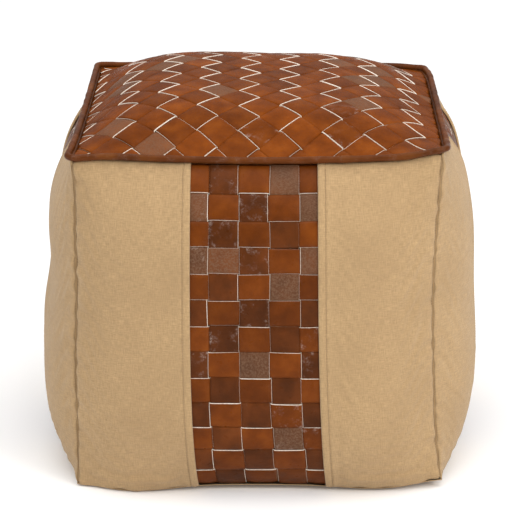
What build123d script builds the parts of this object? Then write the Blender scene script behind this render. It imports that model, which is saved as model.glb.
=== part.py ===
from build123d import *
from math import cos, pi, sqrt
import os

import numpy as np

# A square leather and canvas pouf, stuffed firm, standing on its base.
# Millimetres. The origin is the middle of the base, on the floor. -Y is the
# front, +X the right-hand side and +Z up.

# Driving dimensions of the stuffed cover
TOP_SIDE = 440.0  # seam to seam across the square top
BASE_SIDE = 460.0  # seam to seam across the base
SEAM_HEIGHT = 425.0  # floor to the piped seam round the top
BASE_LIFT = 7.0  # floor to the seam round the base, and to the zip
SIDE_BULGE = 45.0  # how far the middle of a side stands out of its seams
CROWN = 48.0  # how far the middle of the top stands above its seam
SEAM_SLOT = 1.5  # what a panel stops short of the piped seam, for the flange

# Layers, counted inwards from the outer surface
CANVAS = 1.6
WEAVE_MIDDLE = 3.4  # where over-strips and under-strips swap sides
WEAVE_RISE = 1.0  # how far a strip lies above or below that middle
BACKING_OUTER = 5.5
BACKING = 0.7
LINER_OUTER = 6.6
LINER = 0.8
FILLING_OUTER = 7.7
LINER_FLOOR = 2.0  # floor to the liner where the pouf rests
LINER_INSET = 2.0  # what the liner's foot stops short of the base canvas
FOOT_WALL = 1.0  # thickness of the sloping sides of the base trays and the liner's feet
FILLING_FLOOR = 3.1
FILLING_INSET = 4.0

# Woven leather
STRIP = 1.2  # leather thickness
STRIP_GAP = 3.0  # between neighbouring strips
BAND_OPENING = 150.0  # width of a side band that shows between the canvas edges
WARP_COUNT = 5
WARP_PITCH = 36.0
WEFT_COUNT = 13
LOWEST_WEFT = 0.7  # the base seam cuts the lowest row; its rows are counted from the base
HIGHEST_WEFT = 13.5  # the top seam
TOP_PITCH = 35.8
TOP_STRIPS = 18  # in each diagonal direction, enough to reach the corners
STRIP_OVERRUN = 0.5  # how far a top strip is drawn past its cut, in pitches
CUT_BELOW = 10.0  # the strips are cut along a sloping face from this far below the seam
CUT_ABOVE = 12.0  # to this far above the crown
STRIP_CLEAR = 0.9  # the cut ends of the top strips to the piping's flange
WEAVE_BEND = 1.5  # how soon a strip starts to swap sides, in gaps from half way

# Piping round the top
PIPING_RADIUS = 4.0
PIPING_WALL = 1.0
PIPING_OFFSET = 3.4  # its middle, out from and above the seam
PIPING_CORNER = 5.0
FLANGE = 1.6
FLANGE_DEPTH = 6.0
CORD_RADIUS = 2.6

# Base panels and the zip between them
FLAT_HALF = 200.0  # half the side of the flat that rests on the floor
VALLEY_FLAT = 40.0  # where the flat ends, either side of the zip
VALLEY_EDGE = 7.0  # canvas edge to the zip's middle line
TAPE_WIDTH = 12.0
TAPE = 0.6
TAPE_ABOVE = 0.5  # the base canvas to the middle of the tape
TAPE_SHORT = 2.0  # what a tape stops short of the liner's outer skin
TAPE_HELD = 0.4  # how far the tape reaches into the teeth
TEETH_LENGTH = 330.0
TOOTH_PITCH = 3.0
TOOTH = 1.6
TEETH_HEIGHT = 2.4
TEETH_NEAR = 0.6  # the middle line to the nearer side of a row of teeth
TEETH_FAR = 2.6
TEETH_SPINE = 0.8  # the strip that joins the teeth of a row
STOP_HALF_LENGTH = 2.0
STOP_HALF_HEIGHT = 1.4
STOP_OFFSET = 2.2  # the last tooth to the middle of a stop
STOP_SIDE = 2.1  # the middle line to the far side of a stop
SLIDER_LENGTH = 18.0
SLIDER_HALF_WIDTH = 4.2
SLIDER_PLATE = 1.0
SLIDER_PLAY = 0.6  # the space between the plates, over the height of the teeth
SLIDER_JOIN = 0.5  # how far its post, rims and bail run into a plate
RIM_CLEAR = 0.5  # a rim to the side of the teeth
TAPE_CLEAR = 0.25  # a rim to the tape that runs between the rims
POST_LENGTH = 4.0
POST_HALF_WIDTH = 0.4
BAIL_HALF_LENGTH = 4.0
BAIL_HALF_WIDTH = 1.5
BAIL_WALL = 0.9  # under the hinge pin
HINGE_RADIUS = 0.6
HINGE_PLAY = 0.1
HINGE_DROP = 0.8  # the slider's lower plate to the hinge pin's middle
TAB_LENGTH = 28.0
TAB_THICKNESS = 1.2
TAB_HALF_WIDTH = 3.6
TAB_PLATE_START = 6.0  # the hinge to where the two arms join the plate
TAB_ARM_INNER = 1.9  # the middle line to the inner side of an arm
TAB_ARM_JOIN = 1.0
TAB_CORNER = 3.0
GRIP_RADIUS = 1.6  # the hole near the end of the tab
GRIP_INSET = 4.5

HALF_TOP = TOP_SIDE / 2
HALF_BASE = BASE_SIDE / 2
MIDDLE_HEIGHT = (SEAM_HEIGHT + BASE_LIFT) / 2
HALF_HEIGHT = (SEAM_HEIGHT - BASE_LIFT) / 2
WEFT_PITCH = 2 * HALF_HEIGHT / (HIGHEST_WEFT - LOWEST_WEFT)
QUARTERS = [0.0, 0.25, 0.5, 0.75, 1.0]
TURNS = {"front": 0, "right": 90, "back": 180, "left": 270}
ZIP_HEIGHT = BASE_LIFT + CANVAS + TAPE_ABOVE  # floor to the middle of the zip tape


# ---------------------------------------------------------------- the skin

def skin_point(face, u, v, depth):
    """A point at a depth inside the stuffed cover. u and v run from -1 to 1 over a face."""
    swell = (1 - u**4) * (1 - v**4)
    if face == "top":
        half = HALF_TOP - depth
        return Vector(u * half, v * half, SEAM_HEIGHT - depth + CROWN * swell)
    half = (HALF_BASE + HALF_TOP) / 2 - v * (HALF_BASE - HALF_TOP) / 2 - depth
    height = MIDDLE_HEIGHT + v * (HALF_HEIGHT - depth)
    point = Vector(u * half, -half - SIDE_BULGE * swell, height)
    return point.rotate(Axis.Z, TURNS[face])


def quartic_net(face, u_range, v_range, depth):
    """Control points of the quartic patch that is exactly this stretch of the skin."""
    values = [[tuple(skin_point(face, between(u_range, f), between(v_range, g), depth))
               for g in QUARTERS] for f in QUARTERS]
    bernstein = [[choose * f**k * (1 - f) ** (4 - k)
                  for k, choose in enumerate([1, 4, 6, 4, 1])] for f in QUARTERS]
    inverse = np.linalg.inv(np.array(bernstein))
    net = np.einsum("ai,bj,ijk->abk", inverse, inverse, np.array(values))
    return [[tuple(point) for point in row] for row in net.tolist()]


def between(span, fraction):
    return span[0] + fraction * (span[1] - span[0])


def closed(faces):
    """The solid inside a set of faces that meet edge to edge."""
    return Solid(Shell(faces))


def skin_piece(face, u_range, v_range, outer, inner):
    """A curved panel of the skin, from one depth to another."""
    outside = quartic_net(face, u_range, v_range, outer)
    inside = quartic_net(face, u_range, v_range, inner)
    rims = [
        [outside[0], inside[0]],
        [outside[-1], inside[-1]],
        [[row[0] for row in outside], [row[0] for row in inside]],
        [[row[-1] for row in outside], [row[-1] for row in inside]],
    ]
    return closed([Face.make_bezier_surface(net) for net in [outside, inside, *rims]])


def loop(x_low, x_high, y_low, y_high, z):
    return [(x_low, y_low, z), (x_high, y_low, z), (x_high, y_high, z), (x_low, y_high, z)]


def square(half, z):
    return loop(-half, half, -half, half, z)


def flat_face(points):
    return Face(Wire.make_polygon(points, close=True))


def bands_between(loops):
    """Flat faces that join each four-sided loop to the next."""
    faces = []
    for one, other in zip(loops, loops[1:]):
        for a in range(4):
            b = (a + 1) % 4
            faces.append(flat_face([one[a], one[b], other[b], other[a]]))
    return faces


def frustum(low, high):
    return closed([flat_face(low), flat_face(high), *bands_between([low, high])])


# ------------------------------------------------- filling, liner and base

def foot_loops(side, rim, flat_height, inset):
    """The flat and the rim of one half of the base, front (-1) or back (+1)."""
    flat = sorted([side * (FLAT_HALF - inset), side * (VALLEY_FLAT + inset)])
    edge = sorted([side * (HALF_BASE - rim), side * (VALLEY_EDGE + inset / 2)])
    low = loop(-FLAT_HALF + inset, FLAT_HALF - inset, *flat, flat_height)
    high = loop(-HALF_BASE + rim, HALF_BASE - rim, *edge, BASE_LIFT + rim)
    return low, high


def stuffed_shape(depth, flat_height, inset):
    """The whole stuffed volume at a depth, with its two feet and the valley between."""
    whole = (-1, 1)
    skins = [*TURNS, "top"]
    faces = [Face.make_bezier_surface(quartic_net(f, whole, whole, depth)) for f in skins]
    body = closed([*faces, flat_face(square(HALF_BASE - depth, BASE_LIFT + depth))])
    for side in (-1, 1):
        body += frustum(*foot_loops(side, depth, flat_height, inset))
    return body


def make_filling():
    return stuffed_shape(FILLING_OUTER, FILLING_FLOOR, FILLING_INSET)


def make_liner():
    outside = stuffed_shape(LINER_OUTER, LINER_FLOOR, LINER_INSET)
    inside = stuffed_shape(LINER_OUTER + LINER, LINER_FLOOR + LINER, LINER_INSET + FOOT_WALL)
    return outside - inside


def make_base_half(side):
    """A shallow canvas tray: a flat, and edges that rise to the base seam and the zip."""
    low, rim = foot_loops(side, 0, 0, 0)
    inner_low, inner_rim = foot_loops(side, CANVAS, CANVAS, FOOT_WALL)
    inner_edge = side * VALLEY_EDGE
    inner_rim = [(x, inner_edge if abs(y) < VALLEY_FLAT else y, z) for x, y, z in inner_rim]
    faces = bands_between([low, rim, inner_rim, inner_low])
    return closed([flat_face(low), flat_face(inner_low), *faces])


# ---------------------------------------------------- side panels and bands

def top_stop(face_half):
    """Where a panel ends short of the piped seam, as a share of the half face."""
    return 1 - SEAM_SLOT / face_half


def make_canvas(face, hand):
    """The canvas beside a band: hand -1 is the left one, seen from outside."""
    edge = BAND_OPENING / 2 / HALF_TOP
    u_range = sorted([hand * 1.0, hand * edge])
    return skin_piece(face, u_range, (-1, top_stop(HALF_HEIGHT)), 0, CANVAS)


def make_band_backing(face):
    edge = WARP_COUNT * WARP_PITCH / 2 / HALF_TOP
    v_range = (-1, top_stop(HALF_HEIGHT))
    return skin_piece(face, (-edge, edge), v_range, BACKING_OUTER, BACKING_OUTER + BACKING)


def weave_wave(position, bend):
    """+1 over even crossings, -1 over odd ones, with a quick smooth swap half way between."""
    crossing = round(position)
    short = abs(position - crossing) - (0.5 - bend)
    level = cos(pi / 2 * min(max(short, 0) / bend, 1))
    return level if crossing % 2 == 0 else -level


def stations(first, last, bend):
    """Where a strip's shape is set out: at each crossing, and closely where it swaps sides."""
    marks = []
    crossing = int(first) - 1
    while crossing <= last + 1:
        for step in (-0.5, -0.5 + bend / 2, -0.5 + bend, -0.25, 0, 0.25, 0.5 - bend, 0.5 - bend / 2):
            marks.append(crossing + step)
        crossing += 1
    return [first, *[m for m in marks if first + 0.02 < m < last - 0.02], last]


def ribbon(point_at, marks):
    """A leather strip. point_at(mark, side, depth_change) gives a point on it."""
    sides = (-1, -0.5, 0, 0.5, 1)
    grids = [[[point_at(m, s, change) for s in sides] for m in marks]
             for change in (-STRIP / 2, STRIP / 2)]
    skins = [Face.make_surface_from_array_of_points(g, tol=0.01, min_deg=3) for g in grids]
    pairs = [(edge, min(skins[1].edges(), key=lambda other: middle_gap(edge, other)))
             for edge in skins[0].edges()]
    rims = [Face.make_surface_from_curves(one, other) for one, other in pairs]
    return closed([*skins, *rims])


def middle_gap(one, other):
    return ((one @ 0.5) - (other @ 0.5)).length


def make_warp(face, column):
    """A strip that runs up the band. Columns count from the left."""
    middle = (column - (WARP_COUNT + 1) / 2) * WARP_PITCH
    half_width = (WARP_PITCH - STRIP_GAP) / 2
    bend = WEAVE_BEND * STRIP_GAP / WEFT_PITCH

    def point_at(row, side, change):
        depth = WEAVE_MIDDLE + change + WEAVE_RISE * (-1) ** column * weave_wave(row, bend)
        u = (middle + side * half_width) / HALF_TOP
        return skin_point(face, u, row_height(row), depth)

    return ribbon(point_at, stations(LOWEST_WEFT, HIGHEST_WEFT, bend))


def row_height(row):
    """The share of the half height at which a weft row lies. Rows count from the base."""
    low, high = -1, top_stop(HALF_HEIGHT)
    return low + (high - low) * (row - LOWEST_WEFT) / (HIGHEST_WEFT - LOWEST_WEFT)


def make_weft(face):
    """The strips that run across the band, one per row."""
    middle = (WARP_COUNT + 1) / 2
    edge = WARP_COUNT / 2 + 0.5
    bend = WEAVE_BEND * STRIP_GAP / WARP_PITCH
    half_width = 0.5 - STRIP_GAP / 2 / WEFT_PITCH
    strips = []
    for row in range(1, WEFT_COUNT + 1):

        def point_at(column, side, change):
            depth = WEAVE_MIDDLE + change - WEAVE_RISE * (-1) ** row * weave_wave(column, bend)
            u = (column - middle) * WARP_PITCH / HALF_TOP
            height = max(row + side * half_width, LOWEST_WEFT)
            return skin_point(face, u, row_height(height), depth)

        strips.append(ribbon(point_at, stations(middle - edge, middle + edge, bend)))
    return Compound(strips)


# ------------------------------------------------------------ the woven top

def make_top_strips(hand):
    """The strips that run one way over the top, at 45 degrees to its sides."""
    # The strips are cut at 45 degrees, level with the flange.
    under, over = -CUT_BELOW, CROWN + CUT_ABOVE
    clear = FLANGE / sqrt(2) + STRIP_CLEAR
    frame = frustum(square(HALF_TOP + under - clear, SEAM_HEIGHT + under),
                    square(HALF_TOP + over - clear, SEAM_HEIGHT + over))
    bend = WEAVE_BEND * STRIP_GAP / TOP_PITCH
    half_width = 0.5 - STRIP_GAP / 2 / TOP_PITCH
    reach = HALF_TOP * sqrt(2) / TOP_PITCH
    strips = []
    for number in range(TOP_STRIPS):
        across = number - (TOP_STRIPS - 1) / 2
        length = reach - abs(across) + half_width + STRIP_OVERRUN

        def point_at(along, side, change):
            depth = WEAVE_MIDDLE + change
            depth -= WEAVE_RISE * (-1) ** number * weave_wave(along + 0.5, bend)
            sideways = across + side * half_width
            u = (sideways - hand * along) / reach
            v = (hand * sideways + along) / reach
            return skin_point("top", u, v, depth)

        marks = [m - 0.5 for m in stations(0.5 - length, 0.5 + length, bend)]
        strips += (ribbon(point_at, marks) & frame).solids()
    return Compound(strips)


def make_top_backing():
    span = (-top_stop(HALF_TOP), top_stop(HALF_TOP))
    return skin_piece("top", span, span, BACKING_OUTER, BACKING_OUTER + BACKING)


# ------------------------------------------------------------------ piping

def piping_path():
    side = 2 * (HALF_TOP + PIPING_OFFSET)
    outline = RectangleRounded(side, side, PIPING_CORNER).wire()
    return outline.moved(Location((0, 0, SEAM_HEIGHT + PIPING_OFFSET)))


def piping_section(radius):
    path = piping_path()
    return Plane(path @ 0, z_dir=path % 0) * Circle(radius)


def make_piping():
    """Leather folded round a cord, with the flange that is caught in the top seam."""
    section = piping_section(PIPING_RADIUS) - piping_section(PIPING_RADIUS - PIPING_WALL)
    tube = sweep(section, path=piping_path())
    near = PIPING_OFFSET - (PIPING_RADIUS - PIPING_WALL / 2) / sqrt(2)
    half_thick = FLANGE / 2 / sqrt(2)
    corners = [(near, 1), (near, -1), (-FLANGE_DEPTH, -1), (-FLANGE_DEPTH, 1), (near, 1)]
    loops = [square(HALF_TOP + along + side * half_thick, SEAM_HEIGHT + along - side * half_thick)
             for along, side in corners]
    return tube + closed(bands_between(loops))


def make_piping_cord():
    return sweep(piping_section(CORD_RADIUS), path=piping_path())


# --------------------------------------------------------------------- zip

def box(x_range, y_range, z_range):
    """A box between two values on each axis."""
    ranges = (sorted(x_range), sorted(y_range), sorted(z_range))
    sizes = [high - low for low, high in ranges]
    return Pos(*[(low + high) / 2 for low, high in ranges]) * Box(*sizes)


def make_zip_tape(side):
    reach = HALF_BASE - LINER_OUTER - TAPE_SHORT
    near = side * (TEETH_FAR - TAPE_HELD)
    z_range = (ZIP_HEIGHT - TAPE / 2, ZIP_HEIGHT + TAPE / 2)
    tape = box((-reach, reach), (near, near + side * TAPE_WIDTH), z_range)
    return tape - make_teeth(side)


def make_teeth(side):
    """A row of teeth on the edge of one tape."""
    comb = Pos(0, side * (TEETH_FAR - TEETH_SPINE / 2)) * Rectangle(TEETH_LENGTH, TEETH_SPINE)
    count = int(TEETH_LENGTH / TOOTH_PITCH)
    tooth = Pos(0, side * (TEETH_FAR + TEETH_NEAR) / 2) * Rectangle(TOOTH, TEETH_FAR - TEETH_NEAR)
    comb += GridLocations(TOOTH_PITCH, 1, count, 1) * tooth
    return Pos(0, 0, ZIP_HEIGHT - TEETH_HEIGHT / 2) * extrude(comb, amount=TEETH_HEIGHT)


def make_end_stop(x, side):
    """A crimped stop on one tape, just past the teeth."""
    y_range = (side * TEETH_NEAR, side * STOP_SIDE)
    z_range = (ZIP_HEIGHT - STOP_HALF_HEIGHT, ZIP_HEIGHT + STOP_HALF_HEIGHT)
    return box((x - STOP_HALF_LENGTH, x + STOP_HALF_LENGTH), y_range, z_range)


def make_bottom_stop(x):
    """The stop that joins both tapes where the zip ends."""
    y_range = (-STOP_SIDE, STOP_SIDE)
    z_range = (ZIP_HEIGHT - STOP_HALF_HEIGHT, ZIP_HEIGHT + STOP_HALF_HEIGHT)
    return box((x - STOP_HALF_LENGTH, x + STOP_HALF_LENGTH), y_range, z_range)


SLIDER_REST = TEETH_LENGTH / 2 - SLIDER_LENGTH / 2
SLIDER_GAP = TEETH_HEIGHT + SLIDER_PLAY  # between its two plates
SLIDER_UNDER = ZIP_HEIGHT - SLIDER_GAP / 2 - SLIDER_PLATE
HINGE_HEIGHT = SLIDER_UNDER - HINGE_DROP


def make_slider():
    """Two plates joined by a thin post, rims that hold the teeth, and a bail for the tab."""
    length = (SLIDER_REST - SLIDER_LENGTH / 2, SLIDER_REST + SLIDER_LENGTH / 2)
    width = (-SLIDER_HALF_WIDTH, SLIDER_HALF_WIDTH)
    under = ZIP_HEIGHT - SLIDER_GAP / 2
    over = ZIP_HEIGHT + SLIDER_GAP / 2
    slider = box(length, width, (under - SLIDER_PLATE, under))
    slider += box(length, width, (over, over + SLIDER_PLATE))
    low, high = under - SLIDER_JOIN, over + SLIDER_JOIN
    post_width = (-POST_HALF_WIDTH, POST_HALF_WIDTH)
    slider += box((length[1] - POST_LENGTH, length[1]), post_width, (low, high))
    clear = TAPE / 2 + TAPE_CLEAR
    for side in (-1, 1):
        rim = (side * (TEETH_FAR + RIM_CLEAR), side * SLIDER_HALF_WIDTH)
        slider += box(length, rim, (low, ZIP_HEIGHT - clear))
        slider += box(length, rim, (ZIP_HEIGHT + clear, high))
    bail_length = (SLIDER_REST - BAIL_HALF_LENGTH, SLIDER_REST + BAIL_HALF_LENGTH)
    bail_height = (HINGE_HEIGHT - HINGE_RADIUS - BAIL_WALL, low)
    slider += box(bail_length, (-BAIL_HALF_WIDTH, BAIL_HALF_WIDTH), bail_height)
    bore = Rot(90, 0, 0) * Cylinder(HINGE_RADIUS + HINGE_PLAY, 2 * SLIDER_HALF_WIDTH)
    return slider - Pos(SLIDER_REST, 0, HINGE_HEIGHT) * bore


def make_pull_tab():
    """A flat tab on a round pin that turns in the slider's bail."""
    z_range = (HINGE_HEIGHT - TAB_THICKNESS / 2, HINGE_HEIGHT + TAB_THICKNESS / 2)
    arms = (SLIDER_REST - TAB_PLATE_START - TAB_ARM_JOIN, SLIDER_REST)
    plate = (SLIDER_REST - TAB_LENGTH, SLIDER_REST - TAB_PLATE_START)
    tab = box(plate, (-TAB_HALF_WIDTH, TAB_HALF_WIDTH), z_range)
    tab = fillet(tab.edges().filter_by(Axis.Z).group_by(Axis.X)[0], TAB_CORNER)
    for side in (-1, 1):
        tab += box(arms, (side * TAB_ARM_INNER, side * TAB_HALF_WIDTH), z_range)
    pin = Rot(90, 0, 0) * Cylinder(HINGE_RADIUS, 2 * TAB_HALF_WIDTH)
    tab += Pos(SLIDER_REST, 0, HINGE_HEIGHT) * pin
    grip = Cylinder(GRIP_RADIUS, 2 * TAB_THICKNESS)
    return tab - Pos(SLIDER_REST - TAB_LENGTH + GRIP_INSET, 0, HINGE_HEIGHT) * grip


# ------------------------------------------------------------- the assembly

def make_nodes():
    nodes = {
        "filling": make_filling(),
        "inner_liner": make_liner(),
        "base_front": make_base_half(-1),
        "base_back": make_base_half(1),
        "top_backing": make_top_backing(),
        "top_strips_rising": make_top_strips(1),
        "top_strips_falling": make_top_strips(-1),
        "piping": make_piping(),
        "piping_cord": make_piping_cord(),
        "zip_tape_front": make_zip_tape(-1),
        "zip_tape_back": make_zip_tape(1),
        "zip_teeth_front": make_teeth(-1),
        "zip_teeth_back": make_teeth(1),
        "zip_top_stop_front": make_end_stop(TEETH_LENGTH / 2 + STOP_OFFSET, -1),
        "zip_top_stop_back": make_end_stop(TEETH_LENGTH / 2 + STOP_OFFSET, 1),
        "zip_bottom_stop": make_bottom_stop(-TEETH_LENGTH / 2 - STOP_OFFSET),
        "zip_slider": make_slider(),
        "pull_tab": make_pull_tab(),
    }
    for face in TURNS:
        nodes[f"{face}_canvas_left"] = make_canvas(face, -1)
        nodes[f"{face}_canvas_right"] = make_canvas(face, 1)
        nodes[f"{face}_band_backing"] = make_band_backing(face)
        nodes[f"{face}_weft"] = make_weft(face)
        for column in range(1, WARP_COUNT + 1):
            nodes[f"{face}_warp_{column}"] = make_warp(face, column)
    return nodes


os.makedirs("parts", exist_ok=True)
for name, shape in make_nodes().items():
    export_step(shape, f"parts/{name}.step")
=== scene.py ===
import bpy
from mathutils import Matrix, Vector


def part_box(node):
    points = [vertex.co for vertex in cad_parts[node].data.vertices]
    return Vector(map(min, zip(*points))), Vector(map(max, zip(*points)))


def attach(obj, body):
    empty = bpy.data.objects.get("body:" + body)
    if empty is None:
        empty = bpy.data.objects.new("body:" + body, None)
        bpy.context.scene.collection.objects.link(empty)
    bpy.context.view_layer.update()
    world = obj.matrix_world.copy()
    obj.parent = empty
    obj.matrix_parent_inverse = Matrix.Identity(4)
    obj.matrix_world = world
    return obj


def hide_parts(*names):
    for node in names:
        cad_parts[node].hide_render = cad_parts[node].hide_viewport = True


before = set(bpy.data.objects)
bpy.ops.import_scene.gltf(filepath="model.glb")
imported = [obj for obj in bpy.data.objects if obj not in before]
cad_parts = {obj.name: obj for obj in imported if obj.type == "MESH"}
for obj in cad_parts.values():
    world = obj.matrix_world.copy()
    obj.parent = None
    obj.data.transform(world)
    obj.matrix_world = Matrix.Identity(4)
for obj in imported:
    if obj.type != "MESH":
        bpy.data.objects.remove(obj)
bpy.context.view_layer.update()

import math
import random

import bmesh
import bpy
import numpy as np
from mathutils import Vector

# A square leather and canvas pouf. Everything is in metres in the frame's own
# axes: -Y is the front, +X the right-hand side, and the floor is z = 0.

MM = 0.001

# ------------------------------------------------------- sizes from the frame

PIPING_RADIUS = 4.0 * MM
PIPING_OFFSET = 3.4 * MM  # the piping's middle, out from and above the top seam
STRIP_TOP_DEPTH = 1.8 * MM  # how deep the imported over-strips lie in the skin

piping_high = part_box("piping")[1]
TOP_HALF = piping_high.x - PIPING_RADIUS - PIPING_OFFSET
SEAM_HEIGHT = piping_high.z - PIPING_RADIUS - PIPING_OFFSET
BASE_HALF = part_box("base_front")[1].x
BASE_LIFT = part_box("front_canvas_left")[0].z
SIDE_BULGE = -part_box("front_canvas_left")[0].y - (TOP_HALF + BASE_HALF) / 2
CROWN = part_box("top_strips_rising")[1].z - SEAM_HEIGHT + STRIP_TOP_DEPTH
HALF_HEIGHT = (SEAM_HEIGHT - BASE_LIFT) / 2
MIDDLE_HEIGHT = (SEAM_HEIGHT + BASE_LIFT) / 2

FACES = {"front": 0, "right": 90, "back": 180, "left": 270}

# The woven bands and the woven top
BAND_HALF = 75.0 * MM
WARP_COUNT = 5
WARP_PITCH = 36.0 * MM
WEFT_COUNT = 13
LOWEST_WEFT = 0.7
HIGHEST_WEFT = 13.5
WEFT_PITCH = 2 * HALF_HEIGHT / (HIGHEST_WEFT - LOWEST_WEFT)
TOP_PITCH = 35.8 * MM
TOP_STRIPS = 18
WEAVE_LEVEL = -3.4 * MM  # the middle of the weave, below the canvas surface
WEAVE_RISE = 0.9 * MM
CANVAS_THICK = 0.9 * MM
BACKING_LEVEL = -5.6 * MM

# How the stuffed cover has settled
SLUMP = 5.0 * MM  # extra fullness low on the sides
SEAM_SAG = {"front": 7.5 * MM, "right": 5.0 * MM, "back": 4.0 * MM, "left": 5.0 * MM}
# Each corner of the top seam: how far it stands out and up, by its right and back signs
EARS = {(-1, -1): (4.5 * MM, -4 * MM), (1, -1): (-2 * MM, 6 * MM),
        (1, 1): (-4 * MM, -4 * MM), (-1, 1): (0, -1 * MM)}
# Each corner of the base: how far it is pinched in across and in depth, and how far it lifts
FEET = {(-1, -1): (5 * MM, 12 * MM, -3.5 * MM), (1, -1): (4 * MM, 8 * MM, 4 * MM),
        (1, 1): (9 * MM, 8 * MM, 0), (-1, 1): (8 * MM, 9 * MM, 0)}
# How far each upright corner seam is drawn in at its waist
WAIST = {(-1, -1): 2 * MM, (1, -1): 13 * MM, (1, 1): 8 * MM, (-1, 1): 7 * MM}
# Where the front edge of the base settles: its middle across, its width, its drop and its push
FOOT_SETTLE = [(-150 * MM, 62 * MM, 5.5 * MM, 8 * MM), (140 * MM, 60 * MM, 3.5 * MM, 3 * MM)]
# Extra fullness of a side: at a height, over a width, by an amount
FULLNESS = [("left", 260 * MM, 60 * MM, -6.5 * MM), ("left", 32 * MM, 48 * MM, 5.5 * MM),
            ("right", 32 * MM, 48 * MM, 4 * MM), ("back", 32 * MM, 48 * MM, 4 * MM),
            ("right", 400 * MM, 38 * MM, 5 * MM)]
FOOT_REACH = 42 * MM  # how far round a base corner its pinch is felt
BAND_LEAN_TOP = -5.5 * MM  # the front band wanders sideways between its ends
BAND_LEAN_BASE = 4.5 * MM
CROWN_LEAN = 10.0 * MM  # how much fuller the top is at the back left
EDGE_ROLL = 3.0 * MM  # how far the woven top rolls up against the piping
EDGE_ROLL_WIDTH = 14.0 * MM
SLUMP_LEVEL, SLUMP_SPREAD = 0.55, 0.4  # below mid-height, as shares of half the height
TOP_WAVES, TOP_WAVE_LENGTH, TOP_WAVE_SEED = 0.9 * MM, 130 * MM, 77
SIDE_WAVES, SIDE_WAVE_LENGTH, SIDE_WAVE_SEED = 0.8 * MM, 150 * MM, 4
# How far each of these is felt round its middle
SEAM_SAG_REACH = 75 * MM
EAR_REACH = 30 * MM
PINCH_HEIGHT = 120 * MM  # a base corner's pinch, upwards
LIFT_HEIGHT = 35 * MM  # a base corner's lift, upwards
WAIST_REACH = 70 * MM
FOOT_SETTLE_REACH = 38 * MM
WAIST_SHARE = np.array([1.0, 0.5])  # of a waist's drawing in, across and in depth
SIDE_START, SIDE_BLEND = 190 * MM, 30 * MM  # a side's extra fullness starts this far out


# ------------------------------------------------------------------ the skin

def skin(face, x, y, lift):
    """Points on the stuffed cover. x and y run over the flat face, lift is outwards."""
    x, y, lift = np.broadcast_arrays(x, y, lift)
    if face == "top":
        u, v = x / TOP_HALF, y / TOP_HALF
        half = TOP_HALF + lift
        swell = (1 - u**4) * (1 - v**4)
        lean = CROWN_LEAN * swell * (v - u) / 2
        waves = TOP_WAVES * swell * ripple(x, y, TOP_WAVE_LENGTH, TOP_WAVE_SEED)
        from_edge = TOP_HALF - np.maximum(np.abs(x), np.abs(y))
        roll = EDGE_ROLL * np.exp(-(from_edge / EDGE_ROLL_WIDTH) ** 2)
        rise = CROWN * swell + lean + waves + roll
        points = np.stack([u * half, v * half, SEAM_HEIGHT + lift + rise], -1)
        return settle(points)
    u, v = x / TOP_HALF, y / HALF_HEIGHT
    swell = (1 - np.clip(u, -1, 1)**4) * (1 - np.clip(v, -1, 1)**4)
    half = (BASE_HALF + TOP_HALF) / 2 - v * (BASE_HALF - TOP_HALF) / 2 + lift
    height = MIDDLE_HEIGHT + v * (HALF_HEIGHT + lift)
    slump = SLUMP * swell * np.exp(-((v + SLUMP_LEVEL) / SLUMP_SPREAD) ** 2)
    waves = SIDE_WAVES * swell * ripple(x, y, SIDE_WAVE_LENGTH, FACES[face] + SIDE_WAVE_SEED)
    wander = 0 * u
    if face == "front":
        low = (np.clip(1 - v, 0, 2) / 2) ** 4
        lean = BAND_LEAN_TOP + (BAND_LEAN_BASE - BAND_LEAN_TOP) * low
        wander = lean * (1 - np.clip(u, -1, 1)**4)
    points = np.stack([u * half + wander, -half - SIDE_BULGE * swell - slump - waves, height], -1)
    return settle(turned(points, FACES[face]))


def turned(points, degrees):
    c, s = math.cos(math.radians(degrees)), math.sin(math.radians(degrees))
    x, y, z = points[..., 0], points[..., 1], points[..., 2]
    return np.stack([c * x - s * y, s * x + c * y, z], -1)


def side_axes(face):
    """A side's outward direction and the direction along it, in plan."""
    out, along = np.array([0.0, -1.0, 0.0]), np.array([1.0, 0.0, 0.0])
    return turned(out, FACES[face])[:2], turned(along, FACES[face])[:2]


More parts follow.
